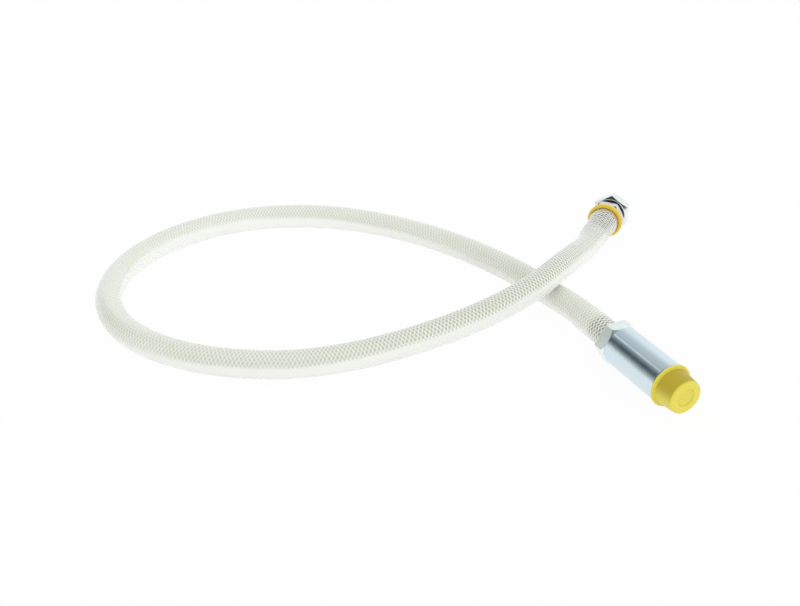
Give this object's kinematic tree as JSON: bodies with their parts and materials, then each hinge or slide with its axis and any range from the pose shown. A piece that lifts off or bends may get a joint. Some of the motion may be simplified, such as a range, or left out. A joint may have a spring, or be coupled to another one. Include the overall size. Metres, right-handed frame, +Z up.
{
  "type": "oil drain hose",
  "caption": "Clear braided hose in a loop with a self-closing threaded valve coupling under a push-on cap at one end and a swivel nut at the other.",
  "frame": {"origin": "centre of the bounding box at the floor, z = 0 where the hose lies", "axes": "+Z up, +X along the loop's longer side, +Y the way the swivel nut opens"},
  "size_m": [0.442, 0.3433, 0.0404],
  "materials": {
    "clear_pvc": "clear flexible PVC over a pale diamond braid",
    "zinc_steel": "turned steel, bright zinc plate",
    "spring_steel": "drawn wire",
    "brass": "turned",
    "black_rubber": "moulded, matt",
    "yellow_plastic": "moulded polyethylene, satin",
    "amber_plastic": "moulded, satin, a little see-through"
  },
  "bodies": {
    "hose_line": {"hose": "clear_pvc", "coupling_body": "zinc_steel", "valve_hose_tail": "zinc_steel", "tail_seal": "black_rubber", "spring_guide": "brass", "valve_spring": "spring_steel", "nose_ring": "black_rubber", "hose_collar": "amber_plastic", "swivel_hose_tail": "zinc_steel", "retaining_wire": "spring_steel", "cone_ring": "black_rubber"},
    "nut": {"swivel_nut": "zinc_steel"},
    "valve_poppet": {"poppet": "brass", "poppet_ring": "black_rubber"},
    "cap": {"protective_cap": "yellow_plastic"}
  },
  "joints": [
    {"name": "nut_turn", "type": "hinge", "parent": "hose_line", "child": "nut", "pos_m": [0.0987, 0.16565, 0.01564], "axis": [0, 1, 0], "continuous": true},
    {"name": "poppet_push", "type": "slide", "parent": "hose_line", "child": "valve_poppet", "axis": [-0.7815, 0.6239, 0], "range_m": [0, 0.005], "stiffness_N_per_m": 900, "springref_m": -0.004, "deforming": ["valve_spring"]},
    {"name": "cap_pull", "type": "slide", "parent": "hose_line", "child": "cap", "axis": [0.7815, -0.6239, 0], "range_m": [0, 0.025]}
  ]
}
